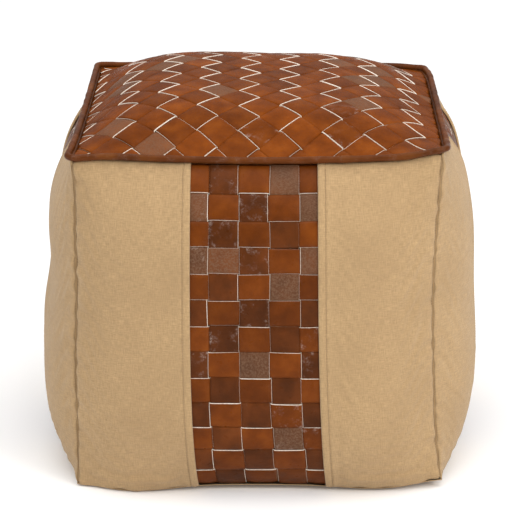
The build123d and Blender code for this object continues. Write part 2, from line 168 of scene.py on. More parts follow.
def settle(points):
    """Moves points of the even cover to where they lie on the used one."""
    points = np.array(points, float)
    plan, z = points[..., :2], points[..., 2]
    drop, push = np.zeros(z.shape), np.zeros(plan.shape)
    for face, sag in SEAM_SAG.items():
        out, along = side_axes(face)
        u = np.clip(plan @ along / TOP_HALF, -1, 1)
        gap = np.hypot(plan @ out - TOP_HALF, z - SEAM_HEIGHT)
        drop += sag * (1 - u**2) * np.exp(-(gap / SEAM_SAG_REACH) ** 2)
    for sign in EARS:
        corner = np.array(sign)
        top_gap = np.hypot(np.linalg.norm(plan - corner * TOP_HALF, axis=-1), z - SEAM_HEIGHT)
        near = np.exp(-(top_gap / EAR_REACH) ** 2)
        push += near[..., None] * corner * EARS[sign][0] / math.sqrt(2)
        drop -= near * EARS[sign][1]
        plan_gap = np.linalg.norm(plan - corner * BASE_HALF, axis=-1)
        height = np.exp(-(z / PINCH_HEIGHT) ** 2)
        foot = np.exp(-(plan_gap / FOOT_REACH) ** 2)
        push -= (foot * height)[..., None] * corner * np.array(FEET[sign][:2])
        drop -= foot * np.exp(-(z / LIFT_HEIGHT) ** 2) * FEET[sign][2]
        near = np.exp(-(plan_gap / WAIST_REACH) ** 2)
        waist = np.clip(1 - ((z - MIDDLE_HEIGHT) / HALF_HEIGHT) ** 2, 0, 1)
        push -= (near * waist)[..., None] * corner * WAIST[sign] * WAIST_SHARE
    edge_gap = np.hypot(plan[..., 1] + BASE_HALF, z - BASE_LIFT)
    front_edge = np.exp(-(edge_gap / FOOT_SETTLE_REACH) ** 2)
    for middle, width, sag, out in FOOT_SETTLE:
        here = front_edge * np.exp(-((plan[..., 0] - middle) / width) ** 2)
        push[..., 1] -= here * out
        drop += here * sag
    for face, level, width, amount in FULLNESS:
        out, along = side_axes(face)
        u = np.clip(plan @ along / BASE_HALF, -1, 1)
        side = np.clip((plan @ out - SIDE_START) / SIDE_BLEND, 0, 1)
        here = side * (1 - u**4) * np.exp(-((z - level) / width) ** 2)
        push += here[..., None] * out * amount
    points[..., :2] = plan + push
    points[..., 2] = z - drop
    return points


def ripple(x, y, wavelength, seed, waves=7):
    """Smooth uneven noise between about -1 and 1, the same on every run."""
    rng = random.Random(seed)
    total = np.zeros(np.broadcast(x, y).shape)
    for _ in range(waves):
        angle = rng.uniform(0, math.tau)
        k = math.tau / wavelength * rng.uniform(0.6, 1.5)
        along = x * math.cos(angle) + y * math.sin(angle)
        total = total + np.sin(k * along + rng.uniform(0, math.tau))
    return total / math.sqrt(waves)


# ------------------------------------------------------------------- meshes

def mesh_object(name, points, faces, materials, face_slots=None, attributes=None):
    mesh = bpy.data.meshes.new(name)
    mesh.from_pydata(np.asarray(points).reshape(-1, 3).tolist(), [], faces)
    for material in materials:
        mesh.materials.append(material)
    if face_slots is not None:
        mesh.polygons.foreach_set("material_index", np.asarray(face_slots, np.int32))
    for label, values in (attributes or {}).items():
        values = np.asarray(values, np.float32)
        kind = "FLOAT" if values.ndim == 1 else "FLOAT_VECTOR"
        field = "value" if values.ndim == 1 else "vector"
        mesh.attributes.new(label, kind, "POINT").data.foreach_set(field, values.ravel())
    mesh.polygons.foreach_set("use_smooth", np.ones(len(mesh.polygons), bool))
    mesh.update()
    piece = bpy.data.objects.new(name, mesh)
    bpy.context.collection.objects.link(piece)
    return piece


def grid_faces(rows, columns, wrap=False, start=0):
    """Quads over a grid of rows by columns. wrap joins the last column to the first."""
    faces = []
    for r in range(rows - 1):
        for c in range(columns if wrap else columns - 1):
            d = (c + 1) % columns
            faces.append((start + r * columns + c, start + r * columns + d,
                          start + (r + 1) * columns + d, start + (r + 1) * columns + c))
    return faces


def stands_for(piece, slot, *nodes):
    """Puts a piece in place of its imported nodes, on the pouf's own body."""
    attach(piece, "pouf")
    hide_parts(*nodes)


def laid_cloth(name, points, faces, material, thickness, cloth, slot):
    """A thickened sheet. cloth holds each point's place on the flat cloth."""
    piece = mesh_object(f"{name}_cloth", points, faces, [material], attributes={"cloth": cloth})
    modifier = piece.modifiers.new("thickness", "SOLIDIFY")
    modifier.thickness = thickness
    modifier.offset = -1
    modifier.use_even_offset = False
    stands_for(piece, slot, name)
    return piece


# ---------------------------------------------------------------- materials

class Graph:
    """A material's nodes, with short calls to add and join them."""

    def __init__(self, name):
        self.material = bpy.data.materials.new(name)
        self.material.use_nodes = True
        self.tree = self.material.node_tree
        self.shader = self.tree.nodes["Principled BSDF"]

    def add(self, kind, inputs=None, **settings):
        node = self.tree.nodes.new(kind)
        for key, value in settings.items():
            setattr(node, key, value)
        for key, value in (inputs or {}).items():
            self.put(node.inputs[key], value)
        return node

    def put(self, socket, value):
        if isinstance(value, bpy.types.NodeSocket):
            self.tree.links.new(value, socket)
        else:
            socket.default_value = value

    def place(self):
        return self.add("ShaderNodeTexCoord").outputs["Object"]

    def attribute(self, name, vector=False):
        node = self.add("ShaderNodeAttribute", attribute_name=name)
        return node.outputs["Vector" if vector else "Fac"]

    def stretched(self, vector, scale, **turn):
        inputs = {"Vector": vector, "Scale": scale, **turn}
        return self.add("ShaderNodeMapping", inputs).outputs[0]

    def noise(self, vector, scale, detail=3.0, roughness=0.55):
        return self.add("ShaderNodeTexNoise", {"Vector": vector, "Scale": scale, "Detail": detail,
                                               "Roughness": roughness}).outputs["Fac"]

    def ramp(self, value, stops):
        node = self.add("ShaderNodeValToRGB", {"Fac": value})
        elements = node.color_ramp.elements
        while len(elements) < len(stops):
            elements.new(0.5)
        for element, (position, colour) in zip(elements, stops):
            element.position = position
            element.color = (*colour, 1) if len(colour) == 3 else colour
        return node.outputs["Color"]

    def fade(self, value, low, high, first=0.0, last=1.0):
        return self.add("ShaderNodeMapRange", {"Value": value, "From Min": low, "From Max": high,
                                               "To Min": first, "To Max": last}).outputs["Result"]

    def maths(self, operation, a, b=0.0):
        return self.add("ShaderNodeMath", {0: a, 1: b}, operation=operation).outputs[0]

    def mix(self, amount, a, b, blend="MIX"):
        # Sockets 6 and 7 and output 2 are the mix node's colours
        node = self.add("ShaderNodeMix", data_type="RGBA", blend_type=blend)
        self.put(node.inputs[0], amount)
        self.put(node.inputs[6], a if isinstance(a, bpy.types.NodeSocket) else (*a, 1))
        self.put(node.inputs[7], b if isinstance(b, bpy.types.NodeSocket) else (*b, 1))
        return node.outputs[2]

    def bump(self, height, strength, distance, normal=None):
        inputs = {"Height": height, "Strength": strength, "Distance": distance}
        if normal is not None:
            inputs["Normal"] = normal
        return self.add("ShaderNodeBump", inputs).outputs["Normal"]

    def finish(self, colour, roughness, normal=None, **fixed):
        self.put(self.shader.inputs["Base Color"], colour)
        self.put(self.shader.inputs["Roughness"], roughness)
        if normal is not None:
            self.put(self.shader.inputs["Normal"], normal)
        for key, value in fixed.items():
            self.shader.inputs[key.replace("_", " ")].default_value = value
        return self.material


# Painted light mixed into the leather's colour: a pale greyish sheen and whitish highlights
PAINTED_SHEEN_COLOUR = (0.16, 0.088, 0.052)
PAINTED_HIGHLIGHT_COLOUR = (0.50, 0.41, 0.36)


def leather(name, dark, middle, light, gloss=0.34, shine=0.07):
    """Waxed leather: slow colour changes, fine grain, and by cell a painted whitish highlight (scuff)
    and a painted pale sheen (bloom).
    """
    g = Graph(name)
    place = g.place()
    mottle = g.noise(place, 38.0, 4.0)
    colour = g.ramp(mottle, [(0.3, dark), (0.5, middle), (0.72, light)])
    tone = g.fade(g.attribute("tone"), 0, 1, 0.62, 1.3)
    shade = g.add("ShaderNodeCombineColor", {0: tone, 1: tone, 2: tone}).outputs[0]
    colour = g.mix(1.0, colour, shade, "MULTIPLY")
    streaks = g.stretched(place, (1, 3.2, 1), Rotation=(0.3, 0.4, 0.7))
    fine = g.noise(streaks, 420.0, 3.0, 0.7)
    # bloom: a painted pale sheen, speckled along the grain, in the cells that carry it
    sheen_speckle = g.fade(fine, 0.42, 0.66)
    bloom = g.maths("MULTIPLY", g.attribute("bloom"), g.fade(sheen_speckle, 0, 1, 0.35, 1.0))
    colour = g.mix(bloom, colour, PAINTED_SHEEN_COLOUR)
    # scuff: a painted whitish highlight in smears along the grain, in the cells that carry it
    highlight_and_dent_noise = g.noise(place, 95.0, 5.0, 0.65)
    scuff = g.maths("MULTIPLY", g.attribute("scuff"), g.fade(highlight_and_dent_noise, 0.52, 0.68))
    scuff = g.maths("MULTIPLY", scuff, g.fade(fine, 0.42, 0.62))
    colour = g.mix(g.maths("MULTIPLY", scuff, 0.70), colour, PAINTED_HIGHLIGHT_COLOUR)
    grain = g.add("ShaderNodeTexVoronoi", {"Vector": place, "Scale": 620.0}).outputs["Distance"]
    normal = g.bump(grain, 0.25, 0.0004)
    normal = g.bump(fine, 0.30, 0.0006, normal)
    normal = g.bump(highlight_and_dent_noise, 0.25, 0.0012, normal)
    roughness = g.fade(g.noise(place, 120.0, 3.0), 0.3, 0.7, gloss - 0.08, gloss + 0.14)
    return g.finish(colour, roughness, normal, Specular_IOR_Level=shine)


def raw_edge():
    g = Graph("raw_leather_edge")
    fibres = g.noise(g.place(), 600.0, 3.0, 0.7)
    colour = g.ramp(fibres, [(0.25, (0.42, 0.32, 0.23)), (0.55, (0.82, 0.74, 0.64))])
    return g.finish(colour, g.fade(fibres, 0.3, 0.7, 0.75, 0.95), g.bump(fibres, 0.5, 0.0005))


def woven_cloth(name, dark, light, thread=0.9 * MM, soiling=0.5):
    """Plain-weave cloth. Threads follow the cloth's own flat directions."""
    g = Graph(name)
    flat = g.attribute("cloth", True)
    slubs = g.noise(g.stretched(flat, (1, 0.12, 1)), 900.0, 3.0, 0.6)
    cross = g.noise(g.stretched(flat, (0.12, 1, 1)), 900.0, 3.0, 0.6)
    turns = math.tau / thread / 20  # the wave node turns once in 1 / (scale * 20 / tau)
    waves = [g.add("ShaderNodeTexWave", {"Vector": flat, "Scale": turns, "Distortion": 1.2,
                                         "Detail": 1.0}, bands_direction=axis).outputs["Fac"]
             for axis in ("X", "Y")]
    weave = g.maths("MULTIPLY", waves[0], waves[1])
    place = g.place()
    cloud = g.noise(place, 14.0, 4.0)
    colour = g.ramp(cloud, [(0.3, dark), (0.7, light)])
    yarn = g.maths("ADD", slubs, cross)
    colour = g.mix(g.fade(yarn, 0.75, 1.25, 0.0, 0.8), colour, tuple(c * 0.66 for c in dark))
    colour = g.mix(g.fade(weave, 0.0, 0.4, 0.35, 0.0), colour, tuple(c * 0.6 for c in dark))
    spots = g.fade(g.noise(place, 160.0, 2.0), 0.74, 0.80, 0.0, soiling)
    colour = g.mix(spots, colour, tuple(c * 0.45 for c in dark))
    normal = g.bump(weave, 0.5, 0.0004)
    normal = g.bump(yarn, 0.35, 0.0005, normal)
    return g.finish(colour, g.fade(cloud, 0.3, 0.7, 0.82, 0.95), normal,
                    Sheen_Weight=0.15, Sheen_Roughness=0.5)


def brass():
    g = Graph("zip_brass")
    place = g.place()
    tarnish = g.noise(place, 180.0, 4.0)
    colour = g.ramp(tarnish, [(0.35, (0.42, 0.27, 0.10)), (0.65, (0.80, 0.60, 0.28))])
    scratches = g.noise(g.stretched(place, (1, 14, 14)), 300.0, 2.0)
    normal = g.bump(scratches, 0.2, 0.0002)
    return g.finish(colour, g.fade(tarnish, 0.3, 0.7, 0.28, 0.48), normal, Metallic=1.0)


WARP_LEATHER = leather("warp_leather", (0.064, 0.0170, 0.0033), (0.094, 0.0240, 0.0042),
                       (0.135, 0.0350, 0.0065))
WEFT_LEATHER = leather("weft_leather", (0.096, 0.0215, 0.002), (0.132, 0.0298, 0.0025),
                       (0.178, 0.0435, 0.004))
TOP_LEATHER = leather("top_leather", (0.112, 0.0245, 0.002), (0.158, 0.0352, 0.0025),
                      (0.212, 0.0515, 0.0042), gloss=0.26, shine=0.03)
PIPING_LEATHER = leather("piping_leather", (0.080, 0.021, 0.004), (0.115, 0.031, 0.006),
                         (0.160, 0.048, 0.009))
RAW_EDGE = raw_edge()
CANVAS = woven_cloth("canvas", (0.47, 0.300, 0.140), (0.57, 0.375, 0.185))
THREAD = woven_cloth("stitch_thread", (0.42, 0.27, 0.13), (0.52, 0.35, 0.18), 0.4 * MM, 0.0)
# Near-black, as painted shade seen through the gaps between the woven strips
SHADE_LINING = woven_cloth("painted_shade_lining", (0.035, 0.022, 0.014), (0.055, 0.035, 0.022), 0.8 * MM, 0.0)
COTTON = woven_cloth("liner_cotton", (0.62, 0.58, 0.48), (0.74, 0.70, 0.60), 0.8 * MM, 0.3)
TAPE = woven_cloth("zip_tape_cloth", (0.18, 0.13, 0.08), (0.24, 0.18, 0.11), 0.7 * MM, 0.0)
BRASS = brass()


# ------------------------------------------------------------ woven leather

STRIP_THICK = 1.2 * MM
RAW_CHAMFER = 0.6 * MM  # how far the grain side is cut back at a raw edge
# A strip's section, from the left of its grain side: shares of the half width and thickness
SECTION_TOP = [-1, -0.8, -0.55, -0.28, 0, 0.28, 0.55, 0.8, 1]
SECTION_ACROSS = np.array([*SECTION_TOP, 1, 1, 0.5, -0.5, -1, -1])
SECTION_HEIGHT = np.array([0.32, 0.46, 0.5, 0.5, 0.5, 0.5, 0.5, 0.46, 0.32,
                           -0.45, -0.5, -0.5, -0.5, -0.5, -0.45])
GRAIN_SLOT, RAW_SLOT = 0, 1
RAW_QUADS = (8, 9, 13, 14)  # which quads of a ring are its two raw edges
# Where a cell is cut along its length, in pitches from its middle
CELL_STEPS = [-0.5, -0.485, -0.46, -0.42, -0.35, -0.25, -0.12, 0, 0.12, 0.25, 0.35, 0.42, 0.46, 0.485]
STRIP_WANDER = 0.5 * MM
WIDTH_CHANGE = 0.25 * MM
TUCK_FADE = 7 * MM  # over this a strip flattens towards the canvas it runs under
BORDER_HIGHLIGHT, MIDDLE_HIGHLIGHT = 0.92, 0.08  # painted highlights gather at a cell's borders

BAND_GAP, CROSS_GAP, TOP_GAP = 0.7 * MM, 0.6 * MM, 0.5 * MM  # half of the gap between strips
BAND_PUFF, TOP_PUFF = 0.6 * MM, 0.35 * MM
BAND_OPEN = BAND_HALF - 1 * MM  # the half width that the canvas leaves open
SEED_STEP_CROSS, SEED_STEP_TOP = 7, 11


def weave_marks(first, last):
    """A strip's cuts along its length, in pitches, dense where it swaps sides."""
    marks = [c + step for c in range(int(first) - 2, int(last) + 3) for step in CELL_STEPS]
    return np.array([first, *[m for m in marks if first + 0.01 < m < last - 0.01], last])


def over_under(marks):
    """At each mark: the level (+1 over even crossings, -1 under odd ones), the way from the
    cell's middle (0) to its end (1), and the crossing's number."""
    crossing = np.round(marks)
    short = np.abs(2 * (marks - crossing))
    level = np.sqrt(np.clip(1 - short**6, 0, 1))
    return np.where(crossing % 2 == 0, level, -level), short, crossing


def strip(place, marks, phase, half_width, look, puff, open_half=None):
    """One woven strip as a closed tube of rings.

    place(mark, across) gives the flat point, phase is +1 or -1 for what lies over at
    mark 0, and look gives each cell's tone, painted sheen (bloom), painted highlight (scuff)
    and tilt. Cells puff up by puff, and lie flat where they are further from the middle than
    open_half, beneath the canvas."""
    level, short, crossing = over_under(marks)
    level = level * phase
    across = SECTION_ACROSS
    inset = np.zeros(len(across))
    inset[0], inset[len(SECTION_TOP) - 1] = 1, -1
    inset = inset[None] * RAW_CHAMFER * look.frayed(crossing)[:, None]
    height = SECTION_HEIGHT * STRIP_THICK
    wander = ripple(marks, marks * 0 + phase, 5.0, look.seed) * STRIP_WANDER
    width = half_width + ripple(marks, marks * 0 + 3, 4.0, look.seed + 1) * WIDTH_CHANGE
    sideways = across[None] * width[:, None] + inset + wander[:, None]
    crown = np.clip(1 - short**2, 0, 1)[:, None] * (1 - across[None] ** 2) * puff
    over = (level > 0)[:, None]
    x, y = place(marks[:, None], sideways)
    room = 1.0 if open_half is None else np.clip((open_half - np.abs(x)) / TUCK_FADE, 0, 1)
    lift = WEAVE_LEVEL + level[:, None] * WEAVE_RISE + height[None]
    lift = lift + np.where(over, crown, 0) * room
    lift = lift + look.tilt(crossing)[:, None] * across[None] * room
    rows, columns = lift.shape
    faces = grid_faces(rows, columns, wrap=True)
    slots = [RAW_SLOT if i % columns in RAW_QUADS else GRAIN_SLOT for i in range(len(faces))]
    faces += [tuple(range(columns)), tuple(reversed(range((rows - 1) * columns, rows * columns)))]
    slots += [RAW_SLOT, RAW_SLOT]
    cell = [np.repeat(values, columns) for values in look.cells(crossing)]
    # scuff is a painted whitish highlight, strongest at a cell's borders; bloom is a painted pale
    # sheen
    edge = np.maximum(np.abs(across)[None] ** 3, np.clip(short, 0, 1)[:, None] ** 4).ravel()
    attributes = {"tone": cell[0], "bloom": cell[1],
                  "scuff": cell[2] * (MIDDLE_HIGHLIGHT + BORDER_HIGHLIGHT * edge)}
    return {"x": x.ravel(), "y": y.ravel(), "lift": lift.ravel(), "faces": faces, "slots": slots,
            "attributes": attributes}


HIGH_ROWS = 8.5  # the painted highlights and sheen are heavier above this row of a band
MIDDLE_TONE, TONE_SPREAD = 0.5, 0.6
# The strength of the painted sheen (bloom) and painted highlight (scuff) in cells that have them and
# cells that don't
PAINTED_SHEEN_FULL, PAINTED_SHEEN_FAINT = 0.9, 0.03
PAINTED_HIGHLIGHT_FULL, PAINTED_HIGHLIGHT_FAINT = 1.0, 0.06
LEAST_FRAY, FRAY_SPREAD = 0.3, 1.4  # shares of a strip's own fray
CELL_TILT = 0.5 * MM
BAND_FRAY, TOP_FRAY = 0.45, 0.85


def painted_light_chance(chance, crossing):
    """A chance of painted light in a cell, given once for a whole strip or as low and high rows of a
    band.
    """
    low, high = chance if isinstance(chance, tuple) else (chance, chance)
    return np.where(crossing > HIGH_ROWS, high, low)


class Look:
    """The random look of one strip's cells. bloom (a painted pale sheen) and scuff (a painted whitish
    highlight) are chances, as the chance function above takes them.
    """

    def __init__(self, seed, bloom, scuff, fray):
        self.seed, self.bloom, self.scuff, self.fray = seed, bloom, scuff, fray

    def draw(self, crossing, salt):
        return np.array([random.Random(f"{self.seed} {salt} {int(c)}").random() for c in crossing])

    def cells(self, crossing):
        """Each cell's tone, and how much painted sheen and painted highlight it carries."""
        tone = MIDDLE_TONE + TONE_SPREAD * (self.draw(crossing, "tone") - 0.5)
        # Which cells carry a painted sheen (bloom) and a painted highlight (scuff)
        sheened = self.draw(crossing, "bloom") < painted_light_chance(self.bloom, crossing)
        highlighted = self.draw(crossing, "scuff") < painted_light_chance(self.scuff, crossing)
        return tone, np.where(sheened, PAINTED_SHEEN_FULL, PAINTED_SHEEN_FAINT), np.where(highlighted, PAINTED_HIGHLIGHT_FULL, PAINTED_HIGHLIGHT_FAINT)

    def frayed(self, crossing):
        """How much of the raw edge shows, cell by cell."""
        return self.fray * (LEAST_FRAY + FRAY_SPREAD * self.draw(crossing, "raw"))

    def tilt(self, crossing):
        return (self.draw(crossing, "tilt") - 0.5) * CELL_TILT


def joined(strips):
    """Several strips as one set of flat points, faces and attributes."""
    whole = {"faces": [], "slots": [], "attributes": {}}
    start = 0
    for one in strips:
        whole["faces"] += [tuple(start + i for i in face) for face in one["faces"]]
        whole["slots"] += one["slots"]
        start += len(one["x"])
    for key in ("x", "y", "lift"):
        whole[key] = np.concatenate([one[key] for one in strips])
    for key in strips[0]["attributes"]:
        whole["attributes"][key] = np.concatenate([one["attributes"][key] for one in strips])
    return whole


def woven_piece(name, face, flat, material, slot, node):
    """Strips laid on a face of the cover."""
    points = skin(face, flat["x"], flat["y"], flat["lift"])
    piece = mesh_object(name, points, flat["faces"], [material, RAW_EDGE], flat["slots"],
                        flat["attributes"])
    stands_for(piece, slot, node)


def weft_height(row):
    return -HALF_HEIGHT + (row - LOWEST_WEFT) * WEFT_PITCH


MIDDLE_COLUMN = (WARP_COUNT + 1) / 2


def band_warp(column, seed):
    """One upright strip of a band, from the base seam to the flange."""
    middle = (column - MIDDLE_COLUMN) * WARP_PITCH
    # High on a band the left and middle strips carry painted highlights (scuff), and the right ones
    # painted sheen (bloom)
    if column <= MIDDLE_COLUMN:
        look = Look(seed, bloom=(0.15, 0.15), scuff=(0.15, 0.85), fray=BAND_FRAY)
    else:
        look = Look(seed, bloom=(0.15, 0.8), scuff=(0.15, 0.2), fray=BAND_FRAY)
    marks = weave_marks(LOWEST_WEFT + 0.02, HIGHEST_WEFT - 0.05)

    def place(mark, across):
        return middle + across, weft_height(mark) + 0 * across

    half_width = WARP_PITCH / 2 - BAND_GAP
    return strip(place, marks, (-1) ** (column + 1), half_width, look, BAND_PUFF, BAND_OPEN)


def band_weft(seed):
    """All the cross strips of a band, which end beneath the canvas on both sides."""
    strips = []
    reach = WARP_COUNT / 2 + 0.35
    lowest, highest = -HALF_HEIGHT + 2 * MM, HALF_HEIGHT - 1.6 * MM
    half_width = WEFT_PITCH / 2 - CROSS_GAP
    for row in range(1, WEFT_COUNT + 1):
        # bloom and scuff: chances of a painted pale sheen and a painted whitish highlight
        look = Look(seed + row * SEED_STEP_CROSS, bloom=0.05, scuff=0.2, fray=BAND_FRAY)
        marks = weave_marks(MIDDLE_COLUMN - reach, MIDDLE_COLUMN + reach)

        def place(mark, across):
            height = np.clip(weft_height(row) + across, lowest, highest)
            return (mark - MIDDLE_COLUMN) * WARP_PITCH + 0 * across, height

        strips.append(strip(place, marks, (-1) ** row, half_width, look, BAND_PUFF, BAND_OPEN))
    return joined(strips)


TOP_OVERRUN, TOP_SHORTEST = 0.7, 0.8  # pitches: laid past the seam, and the least half length
TOP_OFFSET = 0.5  # the crossings lie half a pitch from the diagonal
TOP_TRIM = 1.6 * MM  # how far inside the seam the strips end


def top_strips(hand, seed):
    """The strips that run one way over the top, cut off square at the seam."""
    strips = []
    half_diagonal = TOP_HALF * math.sqrt(2)
    for number in range(TOP_STRIPS):
        middle = (number - (TOP_STRIPS - 1) / 2) * TOP_PITCH
        length = (half_diagonal - abs(middle)) / TOP_PITCH + TOP_OVERRUN
        if length < TOP_SHORTEST:
            continue
        # bloom and scuff: chances of a painted pale sheen and a painted whitish highlight
        look = Look(seed + number * SEED_STEP_TOP, bloom=0.06, scuff=0.06, fray=TOP_FRAY)
        marks = weave_marks(TOP_OFFSET - length, TOP_OFFSET + length)

        def place(mark, across):
            along = (mark - TOP_OFFSET) * TOP_PITCH
            sideways = middle + across
            return (sideways - hand * along) / math.sqrt(2), (hand * sideways + along) / math.sqrt(2)

        strips.append(strip(place, marks, (-1) ** number, TOP_PITCH / 2 - TOP_GAP, look, TOP_PUFF))
    return trimmed(joined(strips), TOP_HALF - TOP_TRIM)


def trimmed(flat, limit):
    """Cuts flat strips off square at a distance from the middle, and closes the cuts."""
    bm = bmesh.new()
    layers = {key: bm.verts.layers.float.new(key) for key in flat["attributes"]}
    verts = [bm.verts.new(p) for p in zip(flat["x"], flat["y"], flat["lift"])]
    for key, layer in layers.items():
        for vert, value in zip(verts, flat["attributes"][key]):
            vert[layer] = float(value)
    for face, slot in zip(flat["faces"], flat["slots"]):
        bm.faces.new([verts[i] for i in face]).material_index = slot
    for axis in (Vector((1, 0, 0)), Vector((0, 1, 0))):
        for side in (-1, 1):
            geometry = bm.verts[:] + bm.edges[:] + bm.faces[:]
            bmesh.ops.bisect_plane(bm, geom=geometry, dist=1e-6, plane_co=axis * side * limit,
                                   plane_no=axis * side, clear_outer=True)
            rim = [e for e in bm.edges if e.is_boundary]
            for new in bmesh.ops.holes_fill(bm, edges=rim, sides=0)["faces"]:
                new.material_index = RAW_SLOT
    bm.verts.index_update()
    points = np.array([v.co for v in bm.verts])
    result = {"x": points[:, 0], "y": points[:, 1], "lift": points[:, 2],
              "faces": [tuple(v.index for v in f.verts) for f in bm.faces],
              "slots": [f.material_index for f in bm.faces],
              "attributes": {key: np.array([v[layer] for v in bm.verts])
                             for key, layer in layers.items()}}
    bm.free()
    return result


# ------------------------------------------------------------------- canvas

# The hem beside a band, from inside the fold to outside: distances from it and heights, mm
HEM = [(12, -1.4), (8, -1.45), (2, -1.45), (0.5, -1.25), (-0.1, -0.6), (0.0, 0.2), (0.6, 0.85),
       (2, 1.15), (4, 1.2), (6, 1.1), (7.4, 0.9), (8.2, 0.5), (8.8, 0.5), (9.6, 0.8), (11, 0.85),
       (13, 0.55), (16, 0.2), (20, 0.0)]
# How a panel turns in at a corner seam: distances from it and heights, mm
SEAM_ROLL = [(10, 0.0), (6, -0.15), (4, -0.45), (2.4, -1.0), (1.2, -1.8), (0.4, -2.6), (0, -3.4)]
STITCH_LINE = 8.5 * MM
CORNER_STITCH_LINE = 1.5 * MM  # from the corner seam
COLUMN_STEP = 3.0 * MM
EDGE_ROWS = [0, 1.0, 2.5, 5, 8]  # mm from the top and base seams
ROW_STEP = 3  # mm
# A panel's ends are drawn in at the top and base seams: depth and reach in mm
TOP_TUCK, TOP_TUCK_REACH = 1.6, 1.8
BASE_TUCK, BASE_TUCK_REACH = 0.9, 2.2
# Puckers beside each kind of seam: height, wavelength and reach in mm
CORNER_PUCKER, TOP_PUCKER, BASE_PUCKER = (1.5, 24, 13), (0.8, 32, 12), (0.6, 40, 20)
PUCKER_START = 3 * MM  # none within this of the corner and top seams


def canvas_columns():
    """Distances from the fold and heights, from the hem to the corner seam."""
    width = TOP_HALF - BAND_HALF
    hem = [(d * MM, h * MM) for d, h in HEM]
    roll = [(width - d * MM, h * MM) for d, h in SEAM_ROLL]
    middle = np.arange(hem[-1][0] + COLUMN_STEP, roll[0][0] - COLUMN_STEP / 2, COLUMN_STEP)
    return np.array(hem + [(d, 0.0) for d in middle] + roll)


def canvas_rows():
    """Heights from the base seam to the top seam, closer together at both."""
    low, high = -HALF_HEIGHT, HALF_HEIGHT
    first, last = low + (EDGE_ROWS[-1] + ROW_STEP) * MM, high - (EDGE_ROWS[-1] + 1) * MM
    rows = [low + e * MM for e in EDGE_ROWS] + list(np.arange(first, last, ROW_STEP * MM))
    return np.array(rows + [high - e * MM for e in reversed(EDGE_ROWS)])


def puckers(face, x, y):
    """How the canvas ripples beside its seams."""
    from_corner, from_top, from_base = TOP_HALF - np.abs(x), HALF_HEIGHT - y, HALF_HEIGHT + y
    side = np.sign(x)

    def pucker(kind, from_seam, start, run, offset, salt):
        size, wave, reach = kind
        near = np.exp(-from_seam / (reach * MM)) * start
        return ripple(run, offset, wave * MM, FACES[face] + salt) * size * MM * near

    def start(from_seam):
        return np.clip(from_seam / PUCKER_START, 0, 1)

    corner = pucker(CORNER_PUCKER, from_corner, start(from_corner), y, side * 3.0 + x * 0.4, 1)
    top = pucker(TOP_PUCKER, from_top, start(from_top), x, side + y * 0.3, 2)
    base = pucker(BASE_PUCKER, from_base, 1.0, x, side + y * 0.3, 3)
    from_hem = np.clip((np.abs(x) - BAND_HALF - 10 * MM) / (25 * MM), 0, 1)
    return corner + (top + base) * from_hem


def canvas_surface(face, hand, distance, y, height):
    """The skin under a canvas panel, at a distance from its fold."""
    x = hand * (BAND_HALF + distance)
    return skin(face, x, y, height + puckers(face, x, y))


def canvas_panel(face, hand):
    """One canvas panel with its stitches, and how firmly each of its points is held."""
    columns, rows = canvas_columns(), canvas_rows()
    distance = np.tile(columns[:, 0], (len(rows), 1))
    height = np.tile(columns[:, 1], (len(rows), 1))
    y = np.tile(rows[:, None], (1, len(columns)))
    from_top, from_base = (HALF_HEIGHT - y) / MM, (HALF_HEIGHT + y) / MM
    height = height - TOP_TUCK * MM * np.exp(-from_top / TOP_TUCK_REACH)
    height = height - BASE_TUCK * MM * np.exp(-from_base / BASE_TUCK_REACH)
    points = canvas_surface(face, hand, distance, y, height)
    faces = grid_faces(len(rows), len(columns))
    if hand < 0:
        faces = [tuple(reversed(f)) for f in faces]
    length = np.cumsum(np.r_[0, np.hypot(*np.diff(columns, axis=0).T)])
    cloth = np.stack([np.tile(length, (len(rows), 1)), y, 0 * y], -1).reshape(-1, 3)
    name = f"{face}_canvas_{'right' if hand > 0 else 'left'}"
    piece = laid_cloth(name, points, faces, CANVAS, CANVAS_THICK, cloth, "canvas")
    stitches = topstitching(face, hand, f"{name}_stitches")
    return piece, holding(distance, y).ravel()


def topstitching(face, hand, name):
    """Separate stitches in the groove beside the fold, and along the corner seam."""
    pitch, length, radius, arch_height = 3.6 * MM, 2.7 * MM, 0.38 * MM, 0.35 * MM
    clear = 6 * MM  # from the top and base seams
    starts = np.arange(-HALF_HEIGHT + clear, HALF_HEIGHT - clear, pitch)
    # A stitch's rings: place along it as a share of its length, and share of its radius
    sections = np.array([(-0.5, 0.35), (-0.42, 0.8), (0, 1.0), (0.42, 0.8), (0.5, 0.35)])
    around = 6
    sides = np.arange(around) * math.tau / around
    # Each line of stitches: distance from the fold, and level
    lines = [(STITCH_LINE, 0.55 * MM), (TOP_HALF - BAND_HALF - CORNER_STITCH_LINE, -1.35 * MM)]
    x, y, lift, faces = [], [], [], []
    for line, level in lines:
        for start in starts:
            first = len(x)
            for along, thick in sections:
                for side in sides:
                    x.append(line + math.cos(side) * radius * thick)
                    y.append(start + along * length)
                    arch = arch_height * (1 - (2 * along) ** 2)
                    lift.append(level + arch + math.sin(side) * radius * thick)
            faces += grid_faces(len(sections), around, wrap=True, start=first)
            last = first + (len(sections) - 1) * around
            faces += [tuple(range(first, first + around)), tuple(reversed(range(last, last + around)))]
    points = canvas_surface(face, hand, np.array(x), np.array(y), np.array(lift))
    cloth = np.stack([x, y, lift], -1)
    piece = mesh_object(name, points, faces, [THREAD], attributes={"cloth": cloth})
    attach(piece, "pouf")
    return piece


# ----------------------------------------------------------- cloth simulation

